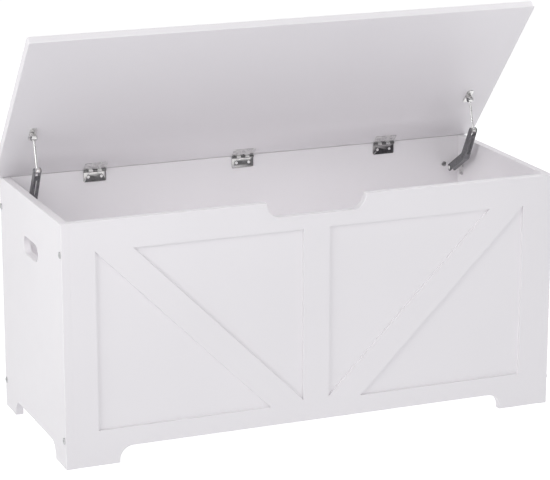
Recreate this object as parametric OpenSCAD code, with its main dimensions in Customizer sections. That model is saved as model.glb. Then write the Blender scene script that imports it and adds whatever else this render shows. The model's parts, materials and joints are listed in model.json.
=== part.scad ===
// Toy chest: a white box on cut-out feet, with a milled front, hand holes in
// its sides, a scoop in its front edge and a hinged lid held by folding stays.
// Millimetres. X runs to the right, Y to the back and Z up. The origin lies on
// the floor, under the middle of the body. The lid is drawn at its open angle.

/* [Body] */
// Width of the body over the outer faces of the side panels
body_w = 950; // [800:5:1100]
// Depth of the body over the front and back panels
body_d = 376; // [340:2:440]
// Height of the body from the floor to the top edge of the panels
body_h = 445; // [420:5:520]
// Thickness of the front, back and side panels
board_t = 15; // [15:0.5:18]

/* [Bottom] */
// Thickness of the bottom panel
bottom_t = 9; // [6:0.5:12]
// Height from the floor to the underside of the bottom panel
bottom_lift = 60; // [59:0.5:66]
// Depth of the groove that holds the bottom panel
groove_d = 5; // [4:0.5:7]

/* [Feet] */
// Height of the cut-outs between the feet
foot_gap_h = 30; // [27:1:34]
// Radius of the cut-outs' corners
foot_corner_r = 25; // [8:1:26]
// Width of each foot on the front and back faces
front_foot_w = 100; // [70:5:130]
// Width of each foot on the side faces
side_foot_w = 63; // [45:1:80]

/* [Front] */
// Width of the flat stile at each end of the front, with the side panel's edge
stile_w = 61; // [58:1:75]
// Width of the stile in the middle of the front
centre_stile_w = 50; // [35:1:70]
// Height of the rail above the recesses
top_rail_h = 54; // [42:1:65]
// Height from the floor to the bottom of the recesses
recess_low = 65; // [62:1:80]
// Depth of the recesses milled into the front
recess_depth = 5; // [3:0.5:7]
// Width of each diagonal brace, square to its length
brace_w = 49; // [30:1:70]
// Width of the finger scoop at the top edge
scoop_w = 192; // [140:2:240]
// Depth of the finger scoop, and the radius of its corners
scoop_d = 28; // [18:1:32]

/* [Hand holes] */
// Length of each hand hole
hand_hole_l = 90; // [75:1:120]
// Height of each hand hole
hand_hole_h = 30; // [24:1:36]
// Radius of the rounding at the edges of the hand holes
hand_hole_round = 3; // [1:0.5:5]
// Distance from the body's top edge to the middle of a hand hole
hand_hole_drop = 91; // [70:1:110]

/* [Lid] */
// Thickness of the lid
lid_t = 15; // [15:0.5:18]
// How far the lid reaches past each side panel
lid_side_over = 14; // [6:1:25]
// How far the closed lid reaches past the front panel
lid_front_over = 26; // [10:1:35]
// Radius of the lid's four corners, seen from above
lid_corner_r = 4; // [2:1:20]
// Gap under the closed lid
lid_gap = 0.5; // [0.4:0.1:1]
// Angle of the open lid above level
lid_open = 50; // [30:1:58]

/* [Hinges] */
// Distance from the middle hinge to each outer one
hinge_spacing = 296; // [240:2:340]
// Width of a hinge along its pin
hinge_w = 44; // [40:1:60]
// Reach of a leaf from the pin's axis
leaf_reach = 21; // [19:0.5:25]
// Thickness of a leaf
leaf_t = 1.5; // [1.2:0.1:1.5]
// Outer radius of the knuckles
knuckle_r = 2.5; // [2.3:0.1:2.6]
// Radius of the hinge pin
hinge_pin_r = 1.25; // [1:0.05:1.5]
// Distance from the pin's axis to the wood behind each leaf
leaf_offset = 2.8; // [2.7:0.1:3]
// Distance of the lid's back edge in front of the pin's axis
lid_set_forward = 1.2; // [1.2:0.1:2]
// Distance between the two screws of a leaf
leaf_screw_pitch = 25.4; // [22:0.2:30]
// Distance from the pin's axis to the leaf's screws
leaf_screw_reach = 11.5; // [9:0.5:14]

/* [Stays] */
// Distance from the body's outer side to the middle plane of a stay
stay_inset = 37; // [34:1:50]
// Distance from the hinge axis forward to the pivot on the lid
stay_lid_reach = 127; // [110:1:150]
// Distance from the lid's underside to the pivot on the lid
stay_lid_drop = 10; // [9:0.5:14]
// How far the elbow lies in front of the pivot on the lid
stay_link_forward = 16; // [8:1:22]
// How far the elbow lies below the pivot on the lid
stay_link_drop = 57; // [50:1:66]
// Width of the channel-shaped lower arm, across its cheeks
arm_w = 12; // [11.5:0.5:18]
// Thickness of the arm's sheet steel
arm_sheet_t = 1.5; // [1:0.1:2]
// Depth of the arm at its side pivot and at its bend
arm_depth = 14; // [13:0.5:16]
// Depth of the arm at its elbow
arm_nose_depth = 11; // [10:0.5:12]
// Distance along the arm from the side pivot to its bend
arm_bend_at = 64; // [50:1:75]
// How far the bend lies below the straight line between the arm's pivots
arm_bend_drop = 17; // [8:1:20]
// Width of the slot along the web of the arm's front stretch
arm_slot_w = 3; // [2:0.5:4]
// Length of that slot
arm_slot_l = 38; // [24:1:42]
// Diameter of the round upper link
link_rod_d = 4; // [3:0.5:5]
// Diameter of the eyes of the upper link
link_eye_d = 9; // [8:0.5:11]
// Width of the eyes of the upper link
link_eye_w = 5; // [4:0.5:6]
// Radius of the rivet at the side pivot
side_rivet_r = 2.5; // [2:0.1:3]
// Radius of the rivets at the elbow and on the lid
small_rivet_r = 2; // [1.5:0.1:2.5]
// Thickness of the brackets' base plates
bracket_t = 2; // [1.5:0.1:2.5]
// Width of the brackets' base plates
bracket_w = 13; // [12:0.5:18]
// Length of the brackets' base plates
bracket_l = 34; // [32:1:50]
// Distance between the two screws of a bracket
bracket_screw_pitch = 21; // [19:0.5:24.5]
// Thickness of the ears of the lid bracket
ear_t = 1.5; // [1.2:0.1:2]

/* [Fasteners] */
// Radius of the bolts' shanks
bolt_r = 3; // [2.5:0.5:4]
// Length of the bolts under the head
bolt_l = 50; // [45:1:60]
// Diameter of the bolts' flat heads
bolt_head_d = 12; // [11:0.5:15]
// Thickness of the bolts' heads
bolt_head_t = 1.5; // [1.2:0.1:3]
// Width across the corners of the bolts' sockets
bolt_socket_d = 4.6; // [4:0.1:5]
// Distance from the body's top edge to the upper bolts
bolt_drop = 56; // [50:1:80]
// Height from the floor to the lower bolts
bolt_low = 52; // [46:1:53]
// Diameter of the barrel nuts
barrel_nut_d = 10; // [9:0.5:12]
// Length of the barrel nuts
barrel_nut_l = 12; // [10:0.5:12.5]
// Distance from the side panel's inner face to the barrel nuts' axes
barrel_nut_in = 30; // [26:1:34]
// Diameter of the wooden dowels
dowel_d = 8; // [6:0.5:8]
// Length of the wooden dowels
dowel_l = 30; // [26:1:36]
// Depth of the dowel holes in the side panels
dowel_blind_d = 10; // [8:0.5:11]
// Height from the floor to the lower dowels
dowel_low = 150; // [110:5:200]
// Height from the floor to the upper dowels
dowel_high = 300; // [250:5:330]
// Diameter of the wood screws' shanks
screw_d = 2.8; // [2.4:0.1:3.2]
// Diameter of the wood screws' countersunk heads
screw_head_d = 5.6; // [5:0.1:6.5]
// Height of the wood screws' countersunk heads
screw_head_h = 1.3; // [1:0.1:1.4]
// Length of the wood screws, head included
screw_l = 12; // [10:0.5:13]

/* [Clearances] */
// Radial clearance of pins, rivets, nuts and dowels in their holes
fit_gap = 0.05; // [0.03:0.01:0.09]
// Clearance between parts that turn beside each other
turn_gap = 0.3; // [0.25:0.05:0.4]
// Radial clearance of the bolts in the panels
bolt_gap = 0.5; // [0.3:0.1:0.8]
// Clearance at the edges of the bottom panel
panel_gap = 0.5; // [0.2:0.1:1]

/* [Hidden] */

$fn = 48;
// Overshoot of cutting tools past the faces that they cut
cut = 1;

paint = "#f1eef2";
raw_wood = "#d8c39c";
nickel = "#c9ccd0";
dark_steel = "#6d7075";
zinc_plate = "#b9bcc0";

// Half sizes and faces of the body
half_w = body_w / 2;
half_d = body_d / 2;
inner_x = half_w - board_t;
inner_y = half_d - board_t;
board_mid_y = half_d - board_t / 2;

// Hinge axis, and the lid in its closed place
axis_y = inner_y - leaf_offset;
axis_z = body_h + lid_gap - leaf_offset;
lid_w = body_w + 2 * lid_side_over;
lid_back_y = axis_y - lid_set_forward;
lid_front_y = -half_d - lid_front_over;
lid_low_z = body_h + lid_gap;

// Hinge leaves
knuckle_count = 5;
knuckle_pitch = hinge_w / knuckle_count;
leaf_start = leaf_offset + 2 * turn_gap;
leaf_corner_r = 2.5;

// Pivots of a stay from the hinge axis as [Y, Z], with the lid closed
lid_pivot = [-stay_lid_reach, leaf_offset - stay_lid_drop];
link_vector = [-stay_link_forward, -stay_link_drop];
// The arm and the line from the hinge axis to the lid pivot stay parallel
side_pivot = link_vector;
lid_pivot_open = turned(lid_pivot, lid_open);
elbow_open = lid_pivot_open + link_vector;
arm_l = norm(lid_pivot);
arm_angle_open = atan2(lid_pivot_open[1], lid_pivot_open[0]);
link_angle = atan2(-link_vector[1], -link_vector[0]);

// Sheet and web of the lower arm
cheek_in = arm_w / 2 - arm_sheet_t;
arm_round_r = arm_depth / 2;
nose_r = arm_nose_depth / 2;
web_cut_back = 3;
// How far the arm's rounds stand past the straight edges that they join
round_proud = 0.02;

rivet_head_t = 1.5;
rivet_head_over = 2;
post_d = 12;
ear_r = 5;
spacer_wall = 2;

// A point [Y, Z] about the hinge axis, after the lid has opened by an angle
function turned(p, angle) = [
    p[0] * cos(angle) + p[1] * sin(angle),
    p[1] * cos(angle) - p[0] * sin(angle)
];

// Turns the closed lid and what rides on it to the open angle
module opened() {
    translate([0, axis_y, axis_z])
        rotate([-lid_open, 0, 0])
            translate([0, -axis_y, -axis_z])
                children();
}

// Stands a flat shape drawn in X and Z upright, from y0 over a thickness
module upright_xz(y0, thickness) {
    translate([0, y0 + thickness, 0])
        rotate([90, 0, 0])
            linear_extrude(thickness)
                children();
}

// Stands a flat shape drawn in Y and Z upright, from x0 over a thickness
module upright_yz(x0, thickness) {
    translate([x0, 0, 0])
        rotate([90, 0, 90])
            linear_extrude(thickness)
                children();
}

// A round bar along X between two places
module bar_x(r, x0, x1) {
    translate([x0, 0, 0])
        rotate([0, 90, 0])
            cylinder(r = r, h = x1 - x0);
}

// A rectangle with its middle at the origin and round corners
module rounded_rect(w, h, r) {
    square([w - 2 * r, h], center = true);
    square([w, h - 2 * r], center = true);
    for (sx = [-1, 1], sy = [-1, 1])
        translate([sx * (w / 2 - r), sy * (h / 2 - r)])
            circle(r);
}

// Half of a hand hole's section: distance from its middle, and place in the board
module hand_hole_half_section() {
    hole_r = hand_hole_h / 2;
    difference() {
        translate([0, -board_t / 2 - cut])
            square([hole_r + hand_hole_round, board_t + 2 * cut]);
        translate([hole_r, hand_hole_round - board_t / 2])
            square([hand_hole_round + cut, board_t - 2 * hand_hole_round]);
        for (s = [-1, 1])
            translate([hole_r + hand_hole_round, s * (board_t / 2 - hand_hole_round)])
                circle(hand_hole_round);
    }
}

// Cuts a hand hole with rounded edges into a board whose middle plane is X = 0
module hand_hole_cutter() {
    straight_l = hand_hole_l - hand_hole_h;
    for (m = [0, 1])
        mirror([0, m, 0])
            translate([0, straight_l / 2, 0])
                rotate([0, 90, 0])
                    rotate_extrude(angle = 180)
                        hand_hole_half_section();
    translate([0, -straight_l / 2, 0])
        rotate([-90, -90, 0])
            linear_extrude(straight_l)
                both_halves()
                    hand_hole_half_section();
}

// The cut-out between two feet of a panel
module foot_gap_shape(panel_w, foot_w) {
    half_gap = panel_w / 2 - foot_w;
    translate([-half_gap, -cut])
        square([2 * half_gap, foot_gap_h - foot_corner_r + cut]);
    translate([foot_corner_r - half_gap, -cut])
        square([2 * (half_gap - foot_corner_r), foot_gap_h + cut]);
    for (s = [-1, 1])
        translate([s * (half_gap - foot_corner_r), foot_gap_h - foot_corner_r])
            circle(foot_corner_r);
}

// A front or back panel's outline, between the side panels
module end_board_shape() {
    difference() {
        translate([-inner_x, 0])
            square([2 * inner_x, body_h]);
        foot_gap_shape(body_w, front_foot_w);
    }
}

// The finger scoop in the front panel's top edge
module scoop_shape() {
    flat_half = scoop_w / 2 - scoop_d;
    translate([-flat_half, body_h - scoop_d])
        square([2 * flat_half, scoop_d + cut]);
    for (s = [-1, 1])
        translate([s * flat_half, body_h])
            circle(scoop_d);
}

// The two recesses of the front's right half, above and below its brace
module recess_shapes() {
    outer = half_w - stile_w;
    inner = centre_stile_w / 2;
    top = body_h - top_rail_h;
    brace_run = brace_w * sqrt(2);
    low_run = min(top - recess_low, outer - inner);
    high_run = min(outer - brace_run - inner, top - recess_low);
    polygon([[outer, recess_low], [outer, top], [outer - low_run, top - low_run],
             [outer - low_run, recess_low]]);
    polygon([[inner, top], [outer - brace_run, top], [outer - brace_run - high_run, top - high_run],
             [inner, top - high_run]]);
}

// The groove for the bottom panel, as a block that reaches into every panel
module bottom_groove() {
    translate([-inner_x - groove_d, -inner_y - groove_d, bottom_lift])
        cube([2 * (inner_x + groove_d), 2 * (inner_y + groove_d), bottom_t]);
}

// Places the bolts of the right-hand corners
module at_corner_bolts() {
    for (sy = [-1, 1], z = [bolt_low, body_h - bolt_drop])
        translate([0, sy * board_mid_y, z])
            children();
}

// Places the dowels of the right-hand corners
module at_corner_dowels() {
    for (sy = [-1, 1], z = [dowel_low, dowel_high])
        translate([0, sy * board_mid_y, z])
            children();
}

// Holes for the bolts through the right-hand side panel and into the boards
module bolt_holes() {
    at_corner_bolts()
        bar_x(bolt_r + bolt_gap, half_w - bolt_l - cut, half_w + cut);
}

module dowel_holes() {
    at_corner_dowels()
        bar_x(dowel_d / 2 + fit_gap, inner_x + dowel_blind_d - dowel_l - cut, inner_x + dowel_blind_d);
}

// A barrel nut's place from the panel's inner face; grow widens it to a hole
module barrel_nut_body(grow) {
    for (sy = [-1, 1], z = [bolt_low, body_h - bolt_drop])
        translate([inner_x - barrel_nut_in, sy * (inner_y - cut * grow), z])
            rotate([-90 * sy, 0, 0])
                cylinder(d = barrel_nut_d + 2 * fit_gap * grow, h = barrel_nut_l + (cut + fit_gap) * grow);
}

module both_sides() {
    children();
    mirror([1, 0, 0])
        children();
}

module corner_joinery_holes() {
    both_sides() {
        bolt_holes();
        dowel_holes();
        barrel_nut_body(1);
    }
}

// Places each hinge leaf's screws, as [X, reach]
module at_leaf_screws(hinge_x) {
    for (s = [-1, 1])
        translate([hinge_x + s * leaf_screw_pitch / 2, 0, 0])
            children();
}

function hinge_places() = [-hinge_spacing, 0, hinge_spacing];

// A countersunk wood screw: its head's top face at the origin, point towards -Z
module wood_screw() {
    tip_h = 3;
    socket_d = 2.4;
    difference() {
        union() {
            translate([0, 0, -screw_head_h])
                cylinder(r1 = screw_d / 2, r2 = screw_head_d / 2, h = screw_head_h);
            translate([0, 0, tip_h - screw_l])
                cylinder(d = screw_d, h = screw_l - tip_h);
            translate([0, 0, -screw_l])
                cylinder(r1 = screw_d / 8, r2 = screw_d / 2, h = tip_h);
        }
        for (a = [0, 90])
            rotate([0, 0, a])
                cube([socket_d, screw_d / 5, screw_head_h], center = true);
    }
}

// The hole that a wood screw needs in a plate and in the wood behind it
module wood_screw_hole() {
    translate([0, 0, -screw_head_h])
        cylinder(r1 = screw_d / 2 + fit_gap, r2 = screw_head_d / 2 + fit_gap, h = screw_head_h);
    translate([0, 0, -screw_l - fit_gap])
        cylinder(r = screw_d / 2 + fit_gap, h = screw_l);
    cylinder(r = screw_head_d / 2 + fit_gap, h = cut);
}

// Turns a screw from its own Z to face forward out of the back panel
module facing_front() {
    rotate([90, 0, 0])
        children();
}

// Turns a screw to face down out of the lid
module facing_down() {
    rotate([180, 0, 0])
        children();
}

// Places the screws of the body leaves, heads flush in the leaves
module at_body_leaf_screws() {
    for (x = hinge_places())
        at_leaf_screws(x)
            translate([0, axis_y + leaf_offset - leaf_t, axis_z - leaf_screw_reach])
                facing_front()
                    children();
}

// Places the screws of the lid leaves, with the lid closed
module at_lid_leaf_screws() {
    for (x = hinge_places())
        at_leaf_screws(x)
            translate([0, axis_y - leaf_screw_reach, axis_z + leaf_offset - leaf_t])
                facing_down()
                    children();
}

// Places the left stay: its middle plane at X = 0, the hinge axis at the origin
module at_left_stay() {
    translate([stay_inset - half_w, axis_y, axis_z])
        children();
}

module at_right_stay() {
    mirror([1, 0, 0])
        at_left_stay()
            children();
}

// Places the screws of one side bracket in the stay's own frame
module at_side_bracket_screws() {
    for (s = [-1, 1])
        translate([board_t - stay_inset + bracket_t, side_pivot[0], side_pivot[1] + s * bracket_screw_pitch / 2])
            rotate([0, 90, 0])
                children();
}

// Places the screws of one lid bracket in the stay's own frame, lid closed
module at_lid_bracket_screws() {
    for (s = [-1, 1])
        translate([0, lid_pivot[0] + s * bracket_screw_pitch / 2, leaf_offset - bracket_t])
            facing_down()
                children();
}

module front_panel_solid() {
    difference() {
        upright_xz(-half_d, board_t)
            difference() {
                end_board_shape();
                scoop_shape();
            }
        upright_xz(-half_d - cut, recess_depth + cut)
            both_halves()
                recess_shapes();
        bottom_groove();
        corner_joinery_holes();
    }
}

module both_halves() {
    children();
    mirror([1, 0])
        children();
}

module front_panel() {
    color(paint)
        front_panel_solid();
}

module back_panel() {
    color(paint)
        difference() {
            upright_xz(inner_y, board_t)
                end_board_shape();
            bottom_groove();
            corner_joinery_holes();
            at_body_leaf_screws()
                wood_screw_hole();
        }
}

// The right-hand side panel; the left one is its mirror image
module side_panel_solid() {
    difference() {
        upright_yz(inner_x, board_t)
            difference() {
                translate([-half_d, 0])
                    square([body_d, body_h]);
                foot_gap_shape(body_d, side_foot_w);
            }
        translate([inner_x + board_t / 2, 0, body_h - hand_hole_drop])
            hand_hole_cutter();
        bottom_groove();
        bolt_holes();
        dowel_holes();
        at_right_stay()
            at_side_bracket_screws()
                wood_screw_hole();
    }
}

module right_side_panel() {
    color(paint)
        side_panel_solid();
}

module left_side_panel() {
    color(paint)
        mirror([1, 0, 0])
            side_panel_solid();
}

// The bottom panel lies on the lower face of its groove
module bottom_panel() {
    reach = groove_d - panel_gap;
    color(paint)
        translate([-inner_x - reach, -inner_y - reach, bottom_lift])
            cube([2 * (inner_x + reach), 2 * (inner_y + reach), bottom_t]);
}

module lid_panel() {
    lid_d = lid_back_y - lid_front_y;
    color(paint)
        opened()
            difference() {
                translate([0, (lid_back_y + lid_front_y) / 2, lid_low_z])
                    linear_extrude(lid_t)
                        rounded_rect(lid_w, lid_d, lid_corner_r);
                at_lid_leaf_screws()
                    wood_screw_hole();
                at_left_stay()
                    at_lid_bracket_screws()
                        wood_screw_hole();
                at_right_stay()
                    at_lid_bracket_screws()
                        wood_screw_hole();
            }
}

// A bolt of the right-hand side: flat head on the panel, shank towards -X
module side_bolt() {
    chamfer = bolt_head_t / 2;
    socket_depth = bolt_head_t + 1;
    difference() {
        union() {
            bar_x(bolt_r, half_w - bolt_l, half_w);
            bar_x(bolt_head_d / 2, half_w, half_w + bolt_head_t - chamfer);
            translate([half_w + bolt_head_t - chamfer, 0, 0])
                rotate([0, 90, 0])
                    cylinder(r1 = bolt_head_d / 2, r2 = bolt_head_d / 2 - chamfer, h = chamfer);
        }
        translate([half_w + bolt_head_t - socket_depth, 0, 0])
            rotate([0, 90, 0])
                cylinder(d = bolt_socket_d, h = socket_depth + cut, $fn = 6);
    }
}

module right_side_bolts() {
    color(zinc_plate)
        at_corner_bolts()
            side_bolt();
}

module left_side_bolts() {
    color(zinc_plate)
        mirror([1, 0, 0])
            at_corner_bolts()
                side_bolt();
}

// Barrel nuts with a cross hole for the bolt and a slot to turn them by
module barrel_nuts_solid() {
    slot_w = 1.6;
    difference() {
        barrel_nut_body(0);
        at_corner_bolts()
            bar_x(bolt_r + fit_gap, half_w - bolt_l - cut, inner_x);
        for (sy = [-1, 1], z = [bolt_low, body_h - bolt_drop])
            translate([inner_x - barrel_nut_in, sy * inner_y, z])
                cube([barrel_nut_d + cut, 2 * slot_w, slot_w], center = true);
    }
}

module right_barrel_nuts() {
    color(zinc_plate)
        barrel_nuts_solid();
}

module left_barrel_nuts() {
    color(zinc_plate)
        mirror([1, 0, 0])
            barrel_nuts_solid();
}

module corner_dowels() {
    end_gap = 0.5;
    color(raw_wood)
        both_sides()
            at_corner_dowels()
                bar_x(dowel_d / 2, inner_x + dowel_blind_d - dowel_l + end_gap, inner_x + dowel_blind_d - end_gap);
}

// The flat part of a leaf, drawn in X and reach from the pin's axis
module leaf_plate_shape() {
    translate([0, (leaf_start + leaf_reach) / 2])
        difference() {
            square([hinge_w, leaf_reach - leaf_start], center = true);
            for (s = [-1, 1])
                translate([s * hinge_w / 2, (leaf_reach - leaf_start) / 2])
                    difference() {
                        square(2 * leaf_corner_r, center = true);
                        translate([-s * leaf_corner_r, -leaf_corner_r])
                            circle(leaf_corner_r);
                    }
        }
}

// One leaf, reaching towards -Z, with its back face at Y = leaf_offset
module leaf_solid(first_knuckle) {
    difference() {
        union() {
            translate([0, leaf_offset, 0])
                rotate([-90, 0, 0])
                    translate([0, 0, -leaf_t])
                        linear_extrude(leaf_t)
                            leaf_plate_shape();
            for (i = [first_knuckle : 2 : knuckle_count - 1])
                translate([i * knuckle_pitch - hinge_w / 2 + turn_gap / 2, 0, 0]) {
                    bar_x(knuckle_r, 0, knuckle_pitch - turn_gap);
                    translate([0, leaf_offset - leaf_t, -leaf_start])
                        cube([knuckle_pitch - turn_gap, leaf_t, leaf_start]);
                }
        }
        bar_x(hinge_pin_r + fit_gap, -hinge_w / 2 - cut, hinge_w / 2 + cut);
    }
}

module body_leaf(x) {
    color(nickel)
        difference() {
            translate([x, axis_y, axis_z])
                leaf_solid(0);
            at_body_leaf_screws()
                wood_screw_hole();
        }
}

// The lid's leaf is a body leaf turned to lie under the closed lid
module lid_leaf(x) {
    color(nickel)
        opened()
            difference() {
                translate([x, axis_y, axis_z])
                    rotate([-90, 0, 0])
                        mirror([0, 1, 0])
                            leaf_solid(1);
                at_lid_leaf_screws()
                    wood_screw_hole();
            }
}

module hinge_pin(x) {
    color(nickel)
        translate([x, axis_y, axis_z])
            bar_x(hinge_pin_r, -hinge_w / 2, hinge_w / 2);
}

module left_hinge_body_leaf() { body_leaf(-hinge_spacing); }
module left_hinge_lid_leaf() { lid_leaf(-hinge_spacing); }
module left_hinge_pin() { hinge_pin(-hinge_spacing); }
module centre_hinge_body_leaf() { body_leaf(0); }
module centre_hinge_lid_leaf() { lid_leaf(0); }
module centre_hinge_pin() { hinge_pin(0); }
module right_hinge_body_leaf() { body_leaf(hinge_spacing); }
module right_hinge_lid_leaf() { lid_leaf(hinge_spacing); }
module right_hinge_pin() { hinge_pin(hinge_spacing); }

module hinge_body_screws() {
    color(nickel)
        at_body_leaf_screws()
            wood_screw();
}

module hinge_lid_screws() {
    color(nickel)
        opened()
            at_lid_leaf_screws()
                wood_screw();
}

// A base plate screwed to the side panel, with a post that carries the arm
module side_bracket() {
    wall_x = board_t - stay_inset;
    color(nickel)
        difference() {
            union() {
                upright_yz(wall_x, bracket_t)
                    translate(side_pivot)
                        rounded_rect(bracket_w, bracket_l, bracket_w / 4);
                translate([0, side_pivot[0], side_pivot[1]])
                    bar_x(post_d / 2, wall_x + bracket_t, -arm_w / 2 - turn_gap);
            }
            translate([0, side_pivot[0], side_pivot[1]])
                bar_x(side_rivet_r + fit_gap, wall_x - cut, 0);
            at_side_bracket_screws()
                wood_screw_hole();
        }
}

module side_rivet() {
    color(nickel)
        translate([0, side_pivot[0], side_pivot[1]]) {
            bar_x(side_rivet_r, board_t - stay_inset + fit_gap, arm_w / 2 + turn_gap);
            rivet_head(side_rivet_r, arm_w / 2 + turn_gap);
        }
}

// A low domed rivet head whose flat side faces -X at the given place
module rivet_head(shank_r, x) {
    head_r = shank_r + rivet_head_over;
    translate([x, 0, 0])
        rotate([0, 90, 0]) {
            cylinder(r = head_r, h = rivet_head_t / 2);
            translate([0, 0, rivet_head_t / 2])
                cylinder(r1 = head_r, r2 = head_r - rivet_head_t / 2, h = rivet_head_t / 2);
        }
}

module double_headed_rivet(shank_r, half_length) {
    bar_x(shank_r, -half_length, half_length);
    rivet_head(shank_r, half_length);
    mirror([1, 0, 0])
        rivet_head(shank_r, half_length);
}

// Angle of the arm's second stretch, from its bend to its elbow
function nose_angle() = atan2(arm_bend_drop, arm_l - arm_bend_at);
function heel_angle() = atan2(-arm_bend_drop, arm_bend_at);
function heel_l() = norm([arm_bend_at, arm_bend_drop]);
function nose_l() = norm([arm_l - arm_bend_at, arm_bend_drop]);

// Slope of the nose's edges against its middle line, which makes them touch both rounds
function nose_taper() = asin((arm_round_r - nose_r) / nose_l());

// The bent arm's side view: side pivot at the origin, elbow at X = arm_l
module arm_outline() {
    edge = arm_round_r - round_proud;
    circle(arm_round_r);
    rotate(heel_angle())
        translate([0, -edge])
            square([heel_l(), 2 * edge]);
    translate([arm_bend_at, -arm_bend_drop]) {
        circle(arm_round_r);
        rotate(nose_angle())
            arm_nose_band(edge, nose_r - round_proud);
    }
    translate([arm_l, 0])
        circle(nose_r);
}

// The tapered band between the rounds at the bend and at the elbow
module arm_nose_band(r0, r1) {
    run = sin(nose_taper());
    rise = cos(nose_taper());
    polygon([[r0 * run, -r0 * rise], [nose_l() + r1 * run, -r1 * rise],
             [nose_l() + r1 * run, r1 * rise], [r0 * run, r0 * rise]]);
}

// What the pressing leaves open between the cheeks: all but a web below
module arm_pocket() {
    round_r = arm_round_r - arm_sheet_t;
    r0 = round_r - round_proud;
    r1 = nose_r - arm_sheet_t - round_proud;
    run = sin(nose_taper());
    rise = cos(nose_taper());
    rotate(heel_angle()) {
        translate([-arm_depth, -r0])
            square([heel_l() + arm_depth, 2 * arm_depth]);
        translate([-arm_depth, -arm_depth])
            square([arm_depth + arm_round_r + web_cut_back, 2 * arm_depth]);
    }
    translate([arm_bend_at, -arm_bend_drop]) {
        circle(round_r);
        rotate(nose_angle()) {
            polygon([[r0 * run, -r0 * rise], [nose_l() + r1 * run, -r1 * rise],
                     [nose_l() + arm_depth, -r1 * rise], [nose_l() + arm_depth, arm_depth], [0, arm_depth]]);
            translate([nose_l() - nose_r - web_cut_back, -arm_depth])
                square([2 * arm_depth, 2 * arm_depth]);
        }
    }
}

// A slot with round ends along the middle of the web, as a cutter
module arm_slot() {
    straight_l = arm_slot_l - arm_slot_w;
    slot_mid = (nose_l() - nose_r - web_cut_back) / 2;
    translate([0, arm_bend_at, -arm_bend_drop])
        rotate([nose_angle(), 0, 0])
            translate([0, slot_mid, -arm_depth])
                linear_extrude(arm_depth) {
                    square([arm_slot_w - 2 * round_proud, straight_l], center = true);
                    for (s = [-1, 1])
                        translate([0, s * straight_l / 2])
                            circle(d = arm_slot_w);
                }
}

// The lower arm at the lid's open angle, bent away from the hinge
module lower_arm() {
    color(dark_steel)
        translate([0, side_pivot[0], side_pivot[1]])
            rotate([arm_angle_open - 180, 0, 0])
                mirror([0, 1, 0])
                    difference() {
                        upright_yz(-arm_w / 2, arm_w)
                            arm_outline();
                        upright_yz(-cheek_in, 2 * cheek_in)
                            arm_pocket();
                        arm_slot();
                        bar_x(side_rivet_r + fit_gap, -arm_w, arm_w);
                        translate([0, arm_l, 0])
                            bar_x(small_rivet_r + fit_gap, -arm_w, arm_w);
                    }
}

module elbow_rivet() {
    color(dark_steel)
        translate([0, elbow_open[0], elbow_open[1]])
            double_headed_rivet(small_rivet_r, arm_w / 2);
}

// Sleeves that keep the link's eye in the middle of the channel
module spacers() {
    color("#e9e9ea")
        translate([0, elbow_open[0], elbow_open[1]])
            for (m = [0, 1])
                mirror([m, 0, 0])
                    difference() {
                        bar_x(small_rivet_r + spacer_wall, link_eye_w / 2 + turn_gap, cheek_in);
                        bar_x(small_rivet_r + fit_gap, 0, arm_w);
                    }
}

// The round upper link, from its eye on the lid to its eye at the elbow
module upper_link() {
    rod_l = norm(link_vector);
    color(nickel)
        translate([0, elbow_open[0], elbow_open[1]])
            difference() {
                union() {
                    bar_x(link_eye_d / 2, -link_eye_w / 2, link_eye_w / 2);
                    rotate([link_angle - 90, 0, 0]) {
                        cylinder(d = link_rod_d, h = rod_l);
                        translate([0, 0, rod_l])
                            bar_x(link_eye_d / 2, -link_eye_w / 2, link_eye_w / 2);
                    }
                }
                bar_x(small_rivet_r + fit_gap, -link_eye_w, link_eye_w);
                translate([0, -link_vector[0], -link_vector[1]])
                    bar_x(small_rivet_r + fit_gap, -link_eye_w, link_eye_w);
            }
}

function ear_in() = link_eye_w / 2 + turn_gap;

// The lid bracket in its closed place: a base plate with two hanging ears
module lid_bracket() {
    color(nickel)
        opened_stay()
            difference() {
                union() {
                    translate([0, lid_pivot[0], leaf_offset - bracket_t])
                        linear_extrude(bracket_t)
                            rounded_rect(bracket_w, bracket_l, bracket_w / 4);
                    for (m = [0, 1])
                        mirror([m, 0, 0])
                            upright_yz(ear_in(), ear_t)
                                translate(lid_pivot) {
                                    circle(ear_r);
                                    translate([-ear_r, 0])
                                        square([2 * ear_r, stay_lid_drop - bracket_t / 2]);
                                }
                }
                translate([0, lid_pivot[0], lid_pivot[1]])
                    bar_x(small_rivet_r + fit_gap, -bracket_w, bracket_w);
                at_lid_bracket_screws()
                    wood_screw_hole();
            }
}

// Turns what rides on the lid, in the stay's own frame
module opened_stay() {
    rotate([-lid_open, 0, 0])
        children();
}

module lid_rivet() {
    color(dark_steel)
        opened_stay()
            translate([0, lid_pivot[0], lid_pivot[1]])
                double_headed_rivet(small_rivet_r, ear_in() + ear_t);
}

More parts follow.
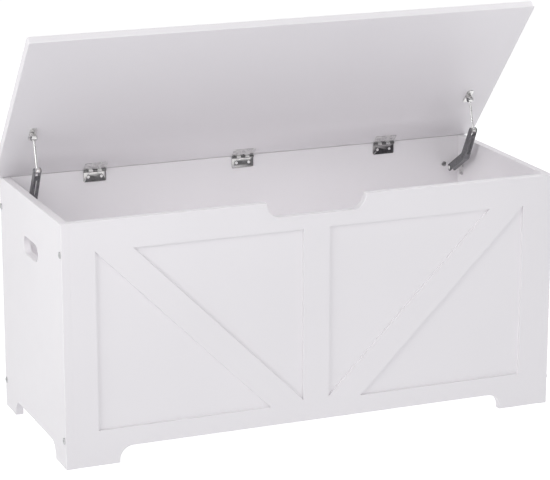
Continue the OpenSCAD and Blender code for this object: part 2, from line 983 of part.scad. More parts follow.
module left_stay_side_bracket() { at_left_stay() side_bracket(); }
module left_stay_side_rivet() { at_left_stay() side_rivet(); }
module left_stay_lower_arm() { at_left_stay() lower_arm(); }
module left_stay_elbow_rivet() { at_left_stay() elbow_rivet(); }
module left_stay_spacers() { at_left_stay() spacers(); }
module left_stay_upper_link() { at_left_stay() upper_link(); }
module left_stay_lid_bracket() { at_left_stay() lid_bracket(); }
module left_stay_lid_rivet() { at_left_stay() lid_rivet(); }
module right_stay_side_bracket() { at_right_stay() side_bracket(); }
module right_stay_side_rivet() { at_right_stay() side_rivet(); }
module right_stay_lower_arm() { at_right_stay() lower_arm(); }
module right_stay_elbow_rivet() { at_right_stay() elbow_rivet(); }
module right_stay_spacers() { at_right_stay() spacers(); }
module right_stay_upper_link() { at_right_stay() upper_link(); }
module right_stay_lid_bracket() { at_right_stay() lid_bracket(); }
module right_stay_lid_rivet() { at_right_stay() lid_rivet(); }

module stay_side_screws() {
    color(nickel) {
        at_left_stay()
            at_side_bracket_screws()
                wood_screw();
        at_right_stay()
            at_side_bracket_screws()
                wood_screw();
    }
}

module stay_lid_screws() {
    color(nickel)
        opened() {
            at_left_stay()
                at_lid_bracket_screws()
                    wood_screw();
            at_right_stay()
                at_lid_bracket_screws()
                    wood_screw();
        }
}

front_panel();
back_panel();
left_side_panel();
right_side_panel();
bottom_panel();
lid_panel();
left_side_bolts();
right_side_bolts();
left_barrel_nuts();
right_barrel_nuts();
corner_dowels();
left_hinge_body_leaf();
left_hinge_lid_leaf();
left_hinge_pin();
centre_hinge_body_leaf();
centre_hinge_lid_leaf();
centre_hinge_pin();
right_hinge_body_leaf();
right_hinge_lid_leaf();
right_hinge_pin();
hinge_body_screws();
hinge_lid_screws();
left_stay_side_bracket();
left_stay_side_rivet();
left_stay_lower_arm();
left_stay_elbow_rivet();
left_stay_spacers();
left_stay_upper_link();
left_stay_lid_bracket();
left_stay_lid_rivet();
right_stay_side_bracket();
right_stay_side_rivet();
right_stay_lower_arm();
right_stay_elbow_rivet();
right_stay_spacers();
right_stay_upper_link();
right_stay_lid_bracket();
right_stay_lid_rivet();
stay_side_screws();
stay_lid_screws();
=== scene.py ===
"""Looks of the toy chest: painted boards, plated hardware, studio and camera."""
import json
import math

import bmesh
import bpy
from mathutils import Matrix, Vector


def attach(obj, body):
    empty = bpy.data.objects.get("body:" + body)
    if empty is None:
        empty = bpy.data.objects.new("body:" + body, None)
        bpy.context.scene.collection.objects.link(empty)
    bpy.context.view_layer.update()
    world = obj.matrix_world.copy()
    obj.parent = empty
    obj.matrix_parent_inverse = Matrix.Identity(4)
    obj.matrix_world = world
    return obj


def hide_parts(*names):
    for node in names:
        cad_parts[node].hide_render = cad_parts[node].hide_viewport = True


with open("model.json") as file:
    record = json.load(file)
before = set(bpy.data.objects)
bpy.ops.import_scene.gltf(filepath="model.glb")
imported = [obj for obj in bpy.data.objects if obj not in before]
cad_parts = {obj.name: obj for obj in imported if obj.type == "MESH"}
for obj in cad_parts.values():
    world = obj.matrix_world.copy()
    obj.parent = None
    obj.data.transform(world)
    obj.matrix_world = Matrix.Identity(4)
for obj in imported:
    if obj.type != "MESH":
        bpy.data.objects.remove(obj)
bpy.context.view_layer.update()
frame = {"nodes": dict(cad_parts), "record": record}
nodes = frame["nodes"]
body_of = {n: b for b, ns in frame["record"]["behaviour"]["bodies"].items() for n in ns}
slot_of = {s["node"]: s["material_slot"] for s in frame["record"]["subparts"]}


# Sizes in millimetres, as in the CAD model

MM = 0.001
BODY_W, BODY_D, BODY_H = 950.0, 376.0, 445.0
BOARD_T = 15.0
HALF_W, HALF_D = BODY_W / 2, BODY_D / 2
INNER_X, INNER_Y = HALF_W - BOARD_T, HALF_D - BOARD_T

FOOT_H, FOOT_R = 30.0, 25.0             # height of the gap between two feet, round of its corners
FRONT_FOOT, SIDE_FOOT = 100.0, 63.0     # a foot's width on the front and back, and on the sides
SCOOP_HALF, SCOOP_D = 96.0, 28.0        # half the finger scoop's width, and its depth
HAND_L, HAND_H = 90.0, 30.0             # a hand hole's length and height
HAND_DROP = 91.0                        # from a side's top edge to the middle of its hand hole
HAND_Z = BODY_H - HAND_DROP

FIELD_X = 414.0                         # from the middle to the outer side of the sunk fields
FIELD_LOW, FIELD_TOP = 65.0, 391.0      # height of the fields' lower and upper sides
FIELD_D = 5.0
STILE_HALF = 25.0                       # half the width of the middle stile
BRACE_W = 49.0
BRACE_RUN = BRACE_W * math.sqrt(2)      # a brace's width, measured along the rail

BOTTOM_Z, BOTTOM_T = 60.0, 9.0
GROOVE_D = 4.5                          # how far the bottom panel reaches into the walls

NUT_R, NUT_DEPTH = 5.05, 12.05          # the blind holes of the barrel nuts
NUT_INSET = 30.0                        # from a side panel's inner face
NUT_RISE, NUT_DROP = 52.0, 56.0         # from the floor to the lower ones, from the top to the upper ones
NUT_X = INNER_X - NUT_INSET
NUT_Z = (NUT_RISE, BODY_H - NUT_DROP)

LID_GAP = 0.5                           # between the closed lid and the body
LID_W = 978.0
LID_R = 4.0                             # round of the lid's four corners
PIN_INSET = 2.8                         # from the hinge axis to the back panel, and to the closed lid
AXIS_Y, AXIS_Z = INNER_Y - PIN_INSET, BODY_H + LID_GAP - PIN_INSET
LID_FRONT = -214.0                      # front edge of the closed lid
LID_SHORT = 1.2                         # from the hinge axis forward to the closed lid's back edge
LID_BACK = AXIS_Y - LID_SHORT
LID_OPEN = math.radians(50)


# Rounding of edges, in millimetres

EDGE_R = 1.3        # the boards' free edges
SEAM_R = 0.2        # where two boards meet
SEAM_END = 3.0      # length of edge over which one of these turns into the other
HAND_R = 3.0        # the hand holes
LID_EDGE_R = 1.5    # the lid
BOTTOM_R = 0.3      # the bottom panel
FIELD_LIP = 0.5     # the mouth of a sunk field
FIELD_HOLLOW = 1.2  # the hollow corner at a sunk field's floor
NUT_LIP = 0.2       # mouth and floor of the barrel nuts' holes

ARRISES = {"screws": 0.12, "hinge": 0.25, "dowels": 0.8}    # hardware, by a word in a node's name
PLAIN_ARRIS = 0.3                                           # all other hardware

EDGE_STEPS = 3                      # faces across a board's rounded edge
NUT_STEPS = 2                       # the same at a barrel nut's hole
NUT_SIDES = 32                      # faces round a barrel nut's hole
ARRIS_STEPS = 2                     # faces across an arris of the hardware
ARC_STEP = math.radians(5)          # turn of one face along an arc
CREASE = math.radians(40)           # an edge that turns more than this is a sharp one
FLAT = math.radians(1)              # faces that turn less than this become one
WELD = 0.000001                     # metres between points that become one
WIDE_FACES = 90                     # pull of wide faces on shading, where 50 is even
MITRE_FLOOR = 0.4                   # keeps the offset of a very sharp corner short


# Colours of the finishes, as red, green and blue light

PAINT_DEEP, PAINT_PALE = (0.825, 0.805, 0.825), (0.855, 0.835, 0.855)
# the second is paler paint on rounded arrises: rub, and a painted highlight where edges catch the light
PAINT_SPECK, PAINT_RUB_HIGHLIGHT = (0.81, 0.795, 0.81), (0.90, 0.885, 0.895)
NICKEL_DEEP, NICKEL_PALE = (0.64, 0.64, 0.64), (0.80, 0.795, 0.78)
# bright nickel darkened to near black for the hinges' body leaves, as painted shade, with paler arrises
SHADE_NICKEL_DEEP, SHADE_NICKEL_PALE = (0.06, 0.06, 0.063), (0.15, 0.15, 0.15)
SHADE_NICKEL_EDGE = (0.50, 0.50, 0.49)
DULL_DEEP, DULL_PALE = (0.13, 0.132, 0.138), (0.24, 0.242, 0.25)
# the first is rub and a painted highlight on the arrises, the second painted shade in the folds
DULL_EDGE_RUB_HIGHLIGHT, DULL_FOLD_SHADE = (0.60, 0.60, 0.61), (0.035, 0.036, 0.04)
ZINC_DEEP, ZINC_PALE = (0.40, 0.405, 0.41), (0.54, 0.545, 0.55)
ZINC_EDGE = (0.66, 0.66, 0.66)
NYLON_DEEP, NYLON_PALE = (0.74, 0.735, 0.70), (0.82, 0.815, 0.79)
BEECH_DEEP, BEECH_PALE = (0.52, 0.35, 0.19), (0.68, 0.49, 0.29)
BEECH_FLECK = (0.44, 0.27, 0.14)
FLOOR_DEEP, FLOOR_PALE = (0.55, 0.55, 0.55), (0.58, 0.58, 0.58)
FLOOR_GLOW, SKY = (1.0, 1.0, 1.0, 1.0), (0.97, 0.97, 1.0, 1.0)     # with opacity


# Tools for material nodes

MIX_A, MIX_B, MIX_RESULT = 6, 7, 2      # a Mix node's sockets that take and give colours


class Graph:
    """A short way to write a material's nodes."""

    def __init__(self, name):
        self.mat = bpy.data.materials.new(name)
        self.mat.use_nodes = True
        self.tree = self.mat.node_tree
        self.shader = self.tree.nodes["Principled BSDF"]
        coords = self.tree.nodes.new("ShaderNodeTexCoord")
        self.place = coords.outputs["Object"]

    def link(self, a, b):
        self.tree.links.new(a, b)

    def stretched(self, x=1.0, y=1.0, z=1.0):
        """The object's own coordinates, each times a factor."""
        node = self.tree.nodes.new("ShaderNodeMapping")
        node.inputs["Scale"].default_value = (x, y, z)
        self.link(self.place, node.inputs["Vector"])
        return node.outputs["Vector"]

    def noise(self, scale, detail=3.0, rough=0.5, vector=None, distortion=0.0):
        node = self.tree.nodes.new("ShaderNodeTexNoise")
        node.inputs["Scale"].default_value = scale
        node.inputs["Detail"].default_value = detail
        node.inputs["Roughness"].default_value = rough
        node.inputs["Distortion"].default_value = distortion
        self.link(vector or self.place, node.inputs["Vector"])
        return node.outputs["Fac"]

    def cells(self, scale, vector=None):
        node = self.tree.nodes.new("ShaderNodeTexVoronoi")
        node.inputs["Scale"].default_value = scale
        self.link(vector or self.place, node.inputs["Vector"])
        return node.outputs["Distance"]

    def ramp(self, fac, *stops):
        """A colour between two stops, each a value of fac and the colour there."""
        node = self.tree.nodes.new("ShaderNodeValToRGB")
        for element, (at, colour) in zip(node.color_ramp.elements, stops):
            element.position = at
            element.color = (*colour, 1.0)
        self.link(fac, node.inputs["Fac"])
        return node.outputs["Color"]

    def spread(self, fac, low, high, from_low=0.3, from_high=0.7):
        """Stretches fac from its range from_low to from_high to the range low to high."""
        node = self.tree.nodes.new("ShaderNodeMapRange")
        node.inputs["From Min"].default_value = from_low
        node.inputs["From Max"].default_value = from_high
        node.inputs["To Min"].default_value = low
        node.inputs["To Max"].default_value = high
        self.link(fac, node.inputs["Value"])
        return node.outputs["Result"]

    def mixed(self, fac, a, b):
        """Colour a where fac is 0, b where it is 1. Each is a colour or a socket."""
        node = self.tree.nodes.new("ShaderNodeMix")
        node.data_type = "RGBA"
        self.link(fac, node.inputs["Factor"])
        for value, socket in ((a, node.inputs[MIX_A]), (b, node.inputs[MIX_B])):
            if isinstance(value, tuple):
                socket.default_value = (*value, 1.0)
            else:
                self.link(value, socket)
        return node.outputs[MIX_RESULT]

    def total(self, a, b, factor):
        """a plus factor times b."""
        node = self.tree.nodes.new("ShaderNodeMath")
        node.operation = "MULTIPLY_ADD"
        self.link(b, node.inputs[0])
        node.inputs[1].default_value = factor
        self.link(a, node.inputs[2])
        return node.outputs[0]

    def product(self, a, b):
        node = self.tree.nodes.new("ShaderNodeMath")
        node.operation = "MULTIPLY"
        self.link(a, node.inputs[0])
        self.link(b, node.inputs[1])
        return node.outputs[0]

    def bump(self, height, distance, strength=1.0, under=None):
        node = self.tree.nodes.new("ShaderNodeBump")
        node.inputs["Distance"].default_value = distance
        node.inputs["Strength"].default_value = strength
        self.link(height, node.inputs["Height"])
        if under:
            self.link(under, node.inputs["Normal"])
        return node.outputs["Normal"]

    def rub_and_highlight(self):
        """The boards' own mark of their rounded arrises, from 0 to 1, for rub and a painted highlight."""
        node = self.tree.nodes.new("ShaderNodeAttribute")
        node.attribute_name = "arris_rub_highlight"
        return node.outputs["Fac"]

    def edges(self, low, high):
        """From 0 to 1 between two values of Pointiness, which is 0.5 on flat faces."""
        node = self.tree.nodes.new("ShaderNodeNewGeometry")
        return self.spread(node.outputs["Pointiness"], 0.0, 1.0, low, high)

    def finish(self, colour, roughness, normal=None, **constants):
        """Joins the shader's sockets. The constants are values that are the same all over."""
        self.link(colour, self.shader.inputs["Base Color"])
        self.link(roughness, self.shader.inputs["Roughness"])
        if normal:
            self.link(normal, self.shader.inputs["Normal"])
        for key, value in constants.items():
            self.shader.inputs[key.replace("_", " ")].default_value = value
        return self.mat


def paint():
    """White satin paint with a cool tint, a faint sprayed texture and slightly rubbed edges, paler there
    as a painted highlight.
    """
    g = Graph("white_satin_paint")
    broad = g.noise(scale=2.6, detail=2.0)
    base = g.ramp(broad, (0.3, PAINT_DEEP), (0.7, PAINT_PALE))
    speck = g.spread(g.noise(scale=420.0, detail=2.0), low=0.0, high=1.0, from_low=0.62, from_high=0.78)
    toned = g.mixed(speck, base, PAINT_SPECK)
    patchiness = g.spread(g.noise(scale=60.0, detail=4.0), low=0.35, high=1.0)
    rub_and_highlight = g.product(g.rub_and_highlight(), patchiness)
    # paler on the arrises: rub, and a painted highlight
    colour = g.mixed(rub_and_highlight, toned, PAINT_RUB_HIGHLIGHT)
    satin = g.spread(g.noise(scale=35.0, detail=4.0, rough=0.6), low=0.36, high=0.46)
    rough = g.total(satin, rub_and_highlight, factor=-0.10)
    peel = g.bump(g.noise(scale=650.0, detail=2.0), distance=0.00004, strength=0.5)
    waves = g.bump(g.noise(scale=22.0, detail=3.0), distance=0.0004, strength=0.06, under=peel)
    return g.finish(colour, rough, waves, Specular_IOR_Level=0.45, Coat_Weight=0.12,
                    Coat_Roughness=0.22)


def nickel():
    """Bright nickel plate with fine rubbed lines, dulled in patches."""
    g = Graph("bright_nickel")
    cloud = g.noise(scale=90.0, detail=4.0, rough=0.6)
    colour = g.ramp(cloud, (0.3, NICKEL_DEEP), (0.7, NICKEL_PALE))
    lines = g.noise(scale=900.0, detail=2.0, vector=g.stretched(x=0.06))
    patchy = g.total(cloud, lines, factor=0.4)
    rough = g.spread(patchy, low=0.20, high=0.34, from_low=0.4, from_high=0.9)
    fine = g.bump(lines, distance=0.00002, strength=0.5)
    return g.finish(colour, rough, fine, Metallic=1.0)


def shaded_nickel():
    """Bright nickel darkened to near black as painted shade, paler on its arrises, as on the hinges' body
    leaves.
    """
    g = Graph("shaded_nickel")
    cloud = g.noise(scale=120.0, detail=4.0, rough=0.6)
    lines = g.noise(scale=900.0, detail=2.0, vector=g.stretched(x=0.06))
    base = g.ramp(g.total(cloud, lines, factor=0.3), (0.4, SHADE_NICKEL_DEEP), (0.9, SHADE_NICKEL_PALE))
    colour = g.mixed(g.edges(low=0.52, high=0.60), base, SHADE_NICKEL_EDGE)
    rough = g.spread(cloud, low=0.12, high=0.24)
    fine = g.bump(lines, distance=0.00002, strength=0.5)
    return g.finish(colour, rough, fine, Metallic=1.0)


def dark_plate():
    """Dull zinc plate: grey, brighter on its arrises as rub and a painted highlight, and darkened in its
    folds as painted shade.
    """
    g = Graph("dark_zinc")
    cloud = g.noise(scale=140.0, detail=5.0, rough=0.65)
    blotch = g.cells(scale=260.0)
    base = g.ramp(g.total(cloud, blotch, factor=0.25), (0.35, DULL_DEEP), (0.8, DULL_PALE))
    # brighter on the arrises: rub, and a painted highlight
    rubbed = g.mixed(g.edges(low=0.53, high=0.62), base, DULL_EDGE_RUB_HIGHLIGHT)
    # darker in the folds: painted shade
    colour = g.mixed(g.edges(low=0.40, high=0.49), DULL_FOLD_SHADE, rubbed)
    rough = g.spread(cloud, low=0.26, high=0.42)
    fine = g.bump(g.noise(scale=1500.0, detail=2.0), distance=0.00002, strength=0.5)
    return g.finish(colour, rough, fine, Metallic=1.0)


def zinc_plate():
    """Zinc plate, a little cloudy and scratched, as on bolts and barrel nuts."""
    g = Graph("bright_zinc")
    cloud = g.noise(scale=210.0, detail=4.0, rough=0.6)
    scratch = g.noise(scale=1400.0, detail=2.0, vector=g.stretched(z=0.08))
    base = g.ramp(g.total(cloud, scratch, factor=0.3), (0.4, ZINC_DEEP), (0.9, ZINC_PALE))
    colour = g.mixed(g.edges(low=0.52, high=0.60), base, ZINC_EDGE)
    rough = g.spread(cloud, low=0.32, high=0.46)
    fine = g.bump(scratch, distance=0.00002, strength=0.5)
    return g.finish(colour, rough, fine, Metallic=1.0)


def nylon():
    """Natural nylon with a faint cloud and a fine grain, as on the stays' spacers."""
    g = Graph("natural_nylon")
    cloud = g.noise(scale=300.0)
    colour = g.ramp(cloud, (0.3, NYLON_DEEP), (0.7, NYLON_PALE))
    rough = g.spread(cloud, low=0.38, high=0.5)
    grain = g.bump(g.noise(scale=2200.0), distance=0.00002, strength=0.4)
    return g.finish(colour, rough, grain, Subsurface_Weight=0.1, Subsurface_Scale=0.001)


def beech():
    """Bare beech with the grain along X, as in the dowels."""
    g = Graph("bare_beech")
    along = g.stretched(y=14.0, z=14.0)
    grain = g.noise(scale=60.0, detail=6.0, rough=0.6, vector=along, distortion=0.4)
    fleck = g.cells(scale=900.0, vector=g.stretched(x=0.15))
    base = g.ramp(grain, (0.25, BEECH_DEEP), (0.75, BEECH_PALE))
    plain = g.spread(fleck, low=0.0, high=0.5, from_low=0.0, from_high=0.35)
    colour = g.mixed(plain, BEECH_FLECK, base)
    rough = g.spread(grain, low=0.55, high=0.72)
    return g.finish(colour, rough, g.bump(grain, distance=0.0001, strength=0.5))


FINISHES = {"painted_board": paint(), "raw_wood": beech(), "bright_steel": nickel(),
            "dark_steel": dark_plate(), "zinc_plate": zinc_plate(), "nylon": nylon()}
# a darkened copy of the bright nickel, as painted shade
NICKEL_IN_SHADE = shaded_nickel()


# Boards

# A board is drawn flat, as a loop of points round its outline. A point is its two coordinates, then the
# rounding of the arris at the near face and, where the far face has another, the rounding there.


def arc(cx, cy, r, start, end, *edge):
    """Points along an arc from start to end in degrees, each with its arrises' rounding."""
    a, b = math.radians(start), math.radians(end)
    n = max(2, round(abs(b - a) / ARC_STEP))
    return [(cx + r * math.cos(a + (b - a) * i / n), cy + r * math.sin(a + (b - a) * i / n), *edge)
            for i in range(n + 1)]


def offset(loop, radii, share):
    """Moves each point of a loop into its left side by share of the point's own radius."""
    out = []
    for i, ((x, y, *_), r) in enumerate(zip(loop, radii)):
        before, after = Vector(loop[i - 1][:2]), Vector(loop[(i + 1) % len(loop)][:2])
        here = Vector((x, y))
        d0, d1 = (here - before).normalized(), (after - here).normalized()
        n0, n1 = Vector((-d0.y, d0.x)), Vector((-d1.y, d1.x))
        mitre = n0 + n1
        mitre = mitre * (2.0 / max(mitre.length_squared, MITRE_FLOOR))
        out.append((x + mitre.x * r * share, y + mitre.y * r * share))
    return out


def ring(bm, points, depths, place, rub_and_highlight=()):
    """One vertex for each point at its depth, marked with how much rub and painted highlight it shows."""
    mark = bm.verts.layers.float["arris_rub_highlight"]
    verts = [bm.verts.new(place(x, y, d)) for (x, y), d in zip(points, depths)]
    for vert, amount in zip(verts, rub_and_highlight):
        vert[mark] = amount
    return verts


def bridge(bm, a, b):
    """Closes the band between two rings of as many vertices."""
    for i in range(len(a)):
        j = (i + 1) % len(a)
        bm.faces.new((a[i], a[j], b[j], b[i]))


def rounded_wall(bm, loop, thickness, place):
    """The wall of a board along a loop, with both arrises rounded. Returns its end rings."""
    rings = []
    there, back = range(EDGE_STEPS + 1), range(EDGE_STEPS, -1, -1)
    for face, inward, turns in ((0.0, 1, there), (thickness, -1, back)):
        radii = [point[2] if inward > 0 else point[-1] for point in loop]
        for i in turns:
            t = math.pi / 2 * i / EDGE_STEPS
            depths = [face + inward * r * (1 - math.cos(t)) for r in radii]
            # paler paint at the middle of each rounded arris: rub, and a painted highlight
            rub_and_highlight = [math.sin(2 * t) * min(1.0, r / EDGE_R) for r in radii]
            rings.append(ring(bm, offset(loop, radii, 1 - math.sin(t)), depths, place, rub_and_highlight))
    for a, b in zip(rings, rings[1:]):
        bridge(bm, a, b)
    return rings[0], rings[-1]


def fill(bm, rings):
    """Closes a flat face that lies between rings of points."""
    edges = []
    for points in rings:
        for i in range(len(points)):
            pair = (points[i], points[(i + 1) % len(points)])
            edges.append(bm.edges.get(pair) or bm.edges.new(pair))
    bmesh.ops.triangle_fill(bm, use_beauty=True, use_dissolve=False, edges=edges)


def pocket(bm, loop, mouth, depth, place, lip, hollow, steps):
    """A sunk field: rounded lip, wall, hollow corner at the floor. Returns the ring at its mouth.

    A negative depth sinks the field from the board's far face."""
    side = math.copysign(1.0, depth)
    lips, hollows = [lip] * len(loop), [hollow] * len(loop)
    rings = []
    for i in range(steps + 1):
        t = math.pi / 2 * i / steps
        at = mouth + side * lip * (1 - math.cos(t))
        # the field's lip gets the same mark of rub and painted highlight
        rings.append(ring(bm, offset(loop, lips, math.sin(t) - 1), [at] * len(loop), place,
                          [math.sin(2 * t) * lip] * len(loop)))
    for i in range(steps + 1):
        t = math.pi / 2 * i / steps
        at = mouth + depth - side * hollow * (1 - math.sin(t))
        rings.append(ring(bm, offset(loop, hollows, 1 - math.cos(t)), [at] * len(loop), place))
    for a, b in zip(rings, rings[1:]):
        bridge(bm, a, b)
    fill(bm, [rings[-1]])
    return rings[0]


def shaded(bm, name, node):
    """Makes the finished mesh an object that stands for a CAD node."""
    bmesh.ops.recalc_face_normals(bm, faces=bm.faces)
    mesh = bpy.data.meshes.new(name)
    bm.to_mesh(mesh)
    bm.free()
    for face in mesh.polygons:
        face.use_smooth = True
    mesh.set_sharp_from_angle(angle=CREASE)
    obj = bpy.data.objects.new(name, mesh)
    bpy.context.scene.collection.objects.link(obj)
    weigh(obj)
    obj.data.materials.append(FINISHES[slot_of[node]])
    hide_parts(node)
    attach(obj, body_of[node])


def weigh(obj):
    """Keeps wide flat faces flat in shading beside their rounded edges."""
    normals = obj.modifiers.new("flat_faces", "WEIGHTED_NORMAL")
    normals.mode = "FACE_AREA"
    normals.weight = WIDE_FACES
    normals.keep_sharp = True


def board(name, node, outline, place, thickness=BOARD_T, holes=(), fields=(), nut_holes=()):
    """A board from its outline, drawn counterclockwise, with holes, sunk fields and nut holes."""
    bm = bmesh.new()
    bm.verts.layers.float.new("arris_rub_highlight")
    near, far = rounded_wall(bm, outline, thickness, place)
    near_rings, far_rings = [near], [far]
    for hole in holes:
        a, b = rounded_wall(bm, hole, thickness, place)
        near_rings.append(a)
        far_rings.append(b)
    for field in fields:
        near_rings.append(pocket(bm, field, 0.0, FIELD_D, place, FIELD_LIP, FIELD_HOLLOW, EDGE_STEPS))
    for hole in nut_holes:
        far_rings.append(pocket(bm, hole, thickness, -NUT_DEPTH, place, NUT_LIP, NUT_LIP, NUT_STEPS))
    fill(bm, near_rings)
    fill(bm, far_rings)
    shaded(bm, name, node)


def foot_gap(half_panel, foot):
    """The cut-out between the feet, from left to right along the floor."""
    edge = half_panel - foot
    return ([(-edge, 0.0, EDGE_R)] + arc(-edge + FOOT_R, FOOT_H - FOOT_R, FOOT_R, 180, 90, EDGE_R)
            + arc(edge - FOOT_R, FOOT_H - FOOT_R, FOOT_R, 90, 0, EDGE_R) + [(edge, 0.0, EDGE_R)])


def ends(half, height, top):
    """The rest of a panel's outline: right end, top points and left end, the ends rounded tightly."""
    right = [(half - SEAM_END, 0.0, EDGE_R), (half, 0.0, SEAM_R), (half, SEAM_END, SEAM_R),
             (half, height - SEAM_END, SEAM_R), (half, height, SEAM_R), (half - SEAM_END, height, EDGE_R)]
    return right + top + mirrored(right)


def mirrored(loop):
    return [(-x, *rest) for x, *rest in reversed(loop)]


def in_xz(y0, sign):
    """Places a board's drawing upright in X and Z, its depth along Y from y0."""
    return lambda u, v, d: Vector((u, y0 + sign * d, v)) * MM


def in_yz(x0, sign):
    """Places a board's drawing upright in Y and Z, its depth along X from x0."""
    return lambda u, v, d: Vector((x0 + sign * d, u, v)) * MM


def nut_holes():
    """The round blind holes of the barrel nuts, in a board's own drawing."""
    turns = [2 * math.pi * i / NUT_SIDES for i in range(NUT_SIDES)]
    return [[(side * NUT_X + NUT_R * math.cos(t), z + NUT_R * math.sin(t)) for t in turns]
            for side in (-1, 1) for z in NUT_Z]


def build_front():
    scoop = (arc(SCOOP_HALF - SCOOP_D, BODY_H, SCOOP_D, 0, -90, EDGE_R)
             + arc(SCOOP_D - SCOOP_HALF, BODY_H, SCOOP_D, -90, -180, EDGE_R))
    outline = foot_gap(HALF_W, FRONT_FOOT) + ends(INNER_X, BODY_H, scoop)
    tall = FIELD_TOP - FIELD_LOW
    outer = [(FIELD_X - tall, FIELD_LOW), (FIELD_X, FIELD_LOW), (FIELD_X, FIELD_TOP)]
    high = FIELD_X - BRACE_RUN
    inner = [(STILE_HALF, FIELD_TOP - (high - STILE_HALF)), (high, FIELD_TOP),
             (STILE_HALF, FIELD_TOP)]
    fields = [outer, inner, mirrored(outer), mirrored(inner)]
    board("front_board", "front_panel", outline, in_xz(-HALF_D, 1), fields=fields,
          nut_holes=nut_holes())


def build_back():
    outline = foot_gap(HALF_W, FRONT_FOOT) + ends(INNER_X, BODY_H, [])
    board("back_board", "back_panel", outline, in_xz(HALF_D, -1), nut_holes=nut_holes())


def build_sides():
    half = (HAND_L - HAND_H) / 2
    hand = (arc(half, HAND_Z, HAND_H / 2, 90, -90, HAND_R)
            + arc(-half, HAND_Z, HAND_H / 2, -90, -270, HAND_R))
    back = [(HALF_D, 0.0, EDGE_R, SEAM_R), (HALF_D, BODY_H, EDGE_R, SEAM_R),
            (INNER_Y, BODY_H, EDGE_R, SEAM_R), (INNER_Y - SEAM_END, BODY_H, EDGE_R, EDGE_R)]
    outline = foot_gap(HALF_D, SIDE_FOOT) + back + mirrored(back)
    for side, sign in (("left", -1), ("right", 1)):
        board(f"{side}_side_board", f"{side}_side_panel", outline, in_yz(sign * HALF_W, -sign),
              holes=[hand])


def build_bottom():
    x, y = INNER_X + GROOVE_D, INNER_Y + GROOVE_D
    outline = [(-x, -y, BOTTOM_R), (x, -y, BOTTOM_R), (x, y, BOTTOM_R), (-x, y, BOTTOM_R)]
    board("bottom_board", "bottom_panel", outline,
          lambda u, v, d: Vector((u, v, BOTTOM_Z + d)) * MM, BOTTOM_T)


def turned(y, z):
    """A point of the closed lid about the hinge axis, at the open angle."""
    c, s = math.cos(LID_OPEN), math.sin(LID_OPEN)
    dy, dz = y - AXIS_Y, z - AXIS_Z
    return AXIS_Y + dy * c + dz * s, AXIS_Z + dz * c - dy * s


def build_lid():
    x, r = LID_W / 2, LID_R
    half = (arc(x - r, LID_FRONT + r, r, -90, 0, LID_EDGE_R)
            + arc(x - r, LID_BACK - r, r, 0, 90, LID_EDGE_R))
    outline = half + mirrored(half)

    def place(u, v, d):
        y, z = turned(v, BODY_H + LID_GAP + d)
        return Vector((u, y, z)) * MM

    board("lid_board", "lid_panel", outline, place)


build_front()
build_back()
build_sides()
build_bottom()
build_lid()


# Hardware

def dress(part):
    """Gives a CAD node its finish, small rounded arrises and smooth round faces."""
    obj = nodes[part]
    obj.data.materials.clear()
    # the hinges' body leaves take the darkened nickel, as painted shade
    obj.data.materials.append(NICKEL_IN_SHADE if part.endswith("body_leaf") else FINISHES[slot_of[part]])
    weld = obj.modifiers.new("weld", "WELD")
    weld.merge_threshold = WELD
    flat = obj.modifiers.new("whole_faces", "DECIMATE")
    flat.decimate_type = "DISSOLVE"
    flat.angle_limit = FLAT
    edge = obj.modifiers.new("arrises", "BEVEL")
    edge.width = next((width for word, width in ARRISES.items() if word in part), PLAIN_ARRIS) * MM
    edge.segments = ARRIS_STEPS
    edge.limit_method = "ANGLE"
    edge.angle_limit = CREASE
    weigh(obj)


for part in nodes:
    if not part.endswith("_panel"):
        dress(part)


# Studio and camera

FLOOR_SIZE = 60.0                   # metres
FLOOR_LIGHT = 0.84                  # strength of the floor's own light
SKY_LEFT, SKY_RIGHT = 0.05, 0.52    # strength of the light from above, towards -X and +X
UNDER = 0.79                        # strength of the light from below the horizon
HORIZON = 0.25                      # half the height over which the two blend

CAMERA_PLACE = (-1.6093, -3.9065, 1.4785)
CAMERA_DOWN, CAMERA_RIGHT = 0.2674, 0.3900      # radians below level, and right of straight ahead
FOCAL_PIXELS, PHOTO_PIXELS = 2358.4, 550        # focal length and width of the photo, in its pixels
SENSOR_WIDTH = 36.0                             # millimetres
NEAREST, FARTHEST = 0.05, 100.0                 # metres that the camera sees


def plane(name, size):
    """A square on the ground about the origin."""
    mesh = bpy.data.meshes.new(name)
    s = size / 2
    mesh.from_pydata([(-s, -s, 0.0), (s, -s, 0.0), (s, s, 0.0), (-s, s, 0.0)], [], [(0, 1, 2, 3)])
    obj = bpy.data.objects.new(name, mesh)
    bpy.context.scene.collection.objects.link(obj)
    return obj


def light(name, place, aim, size, watts):
    """A soft light of a size in metres, at a place and turned to the point that it aims at."""
    data = bpy.data.lights.new(name, "AREA")
    data.shape = "RECTANGLE"
    data.size, data.size_y = size
    data.energy = watts
    obj = bpy.data.objects.new(name, data)
    bpy.context.scene.collection.objects.link(obj)
    obj.location = place
    obj.rotation_mode = "QUATERNION"
    obj.rotation_quaternion = (Vector(aim) - Vector(place)).to_track_quat("-Z", "Y")
    return obj


floor = plane("floor", FLOOR_SIZE)
g = Graph("pale_floor")
tone = g.ramp(g.noise(scale=0.6, detail=2.0), (0.3, FLOOR_DEEP), (0.7, FLOOR_PALE))
rough = g.spread(g.noise(scale=3.0), low=0.7, high=0.8)
floor.data.materials.append(g.finish(tone, rough, Specular_IOR_Level=0.2, Emission_Color=FLOOR_GLOW,
                                     Emission_Strength=FLOOR_LIGHT))
floor.visible_diffuse = False

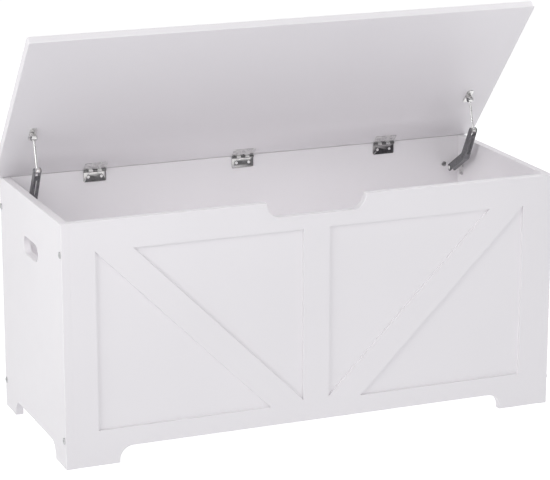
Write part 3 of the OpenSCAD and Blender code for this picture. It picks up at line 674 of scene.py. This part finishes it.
world = bpy.data.worlds.new("studio")
bpy.context.scene.world = world
world.use_nodes = True
tree = world.node_tree
sky = tree.nodes["Background"]
sky.inputs["Color"].default_value = SKY
way = tree.nodes.new("ShaderNodeTexCoord")
split = tree.nodes.new("ShaderNodeSeparateXYZ")
across = tree.nodes.new("ShaderNodeMapRange")
across.inputs["From Min"].default_value = -1.0
across.inputs["To Min"].default_value = SKY_LEFT
across.inputs["To Max"].default_value = SKY_RIGHT
height = tree.nodes.new("ShaderNodeMapRange")
height.inputs["From Min"].default_value = -HORIZON
height.inputs["From Max"].default_value = HORIZON
blend = tree.nodes.new("ShaderNodeMix")
blend.inputs["A"].default_value = UNDER
tree.links.new(way.outputs["Generated"], split.inputs["Vector"])
tree.links.new(split.outputs["X"], across.inputs["Value"])
tree.links.new(split.outputs["Z"], height.inputs["Value"])
tree.links.new(height.outputs["Result"], blend.inputs["Factor"])
tree.links.new(across.outputs["Result"], blend.inputs["B"])
tree.links.new(blend.outputs["Result"], sky.inputs["Strength"])
bpy.context.scene.view_settings.view_transform = "Standard"

light("key", place=(-3.0, -1.25, 1.5), aim=(0.0, 0.0, 0.3), size=(1.7, 1.7), watts=43.0)
light("high_left", place=(-2.2, 0.3, 2.3), aim=(-0.2, 0.0, 0.4), size=(1.0, 1.0), watts=14.0)
light("high_right", place=(2.2, 0.3, 2.3), aim=(0.2, 0.0, 0.4), size=(1.0, 1.0), watts=32.0)
light("top", place=(-0.2, -2.2, 2.7), aim=(0.0, 0.0, 0.35), size=(2.4, 2.0), watts=22.0)
light("fill", place=(0.4, -3.0, 0.15), aim=(0.0, 0.0, 0.2), size=(2.0, 0.3), watts=12.0)
bounce = light("bounce", place=(-0.03, -0.10, 0.38), aim=(-0.03, 0.17, -0.05), size=(0.84, 0.10),
               watts=0.42)
bounce.visible_camera = False

camera_data = bpy.data.cameras.new("camera")
camera = bpy.data.objects.new("camera", camera_data)
bpy.context.scene.collection.objects.link(camera)
camera.location = CAMERA_PLACE
camera.rotation_euler = (math.pi / 2 - CAMERA_DOWN, 0.0, -CAMERA_RIGHT)
camera_data.sensor_width = SENSOR_WIDTH
camera_data.lens = FOCAL_PIXELS / PHOTO_PIXELS * SENSOR_WIDTH
camera_data.clip_start, camera_data.clip_end = NEAREST, FARTHEST
bpy.context.scene.camera = camera
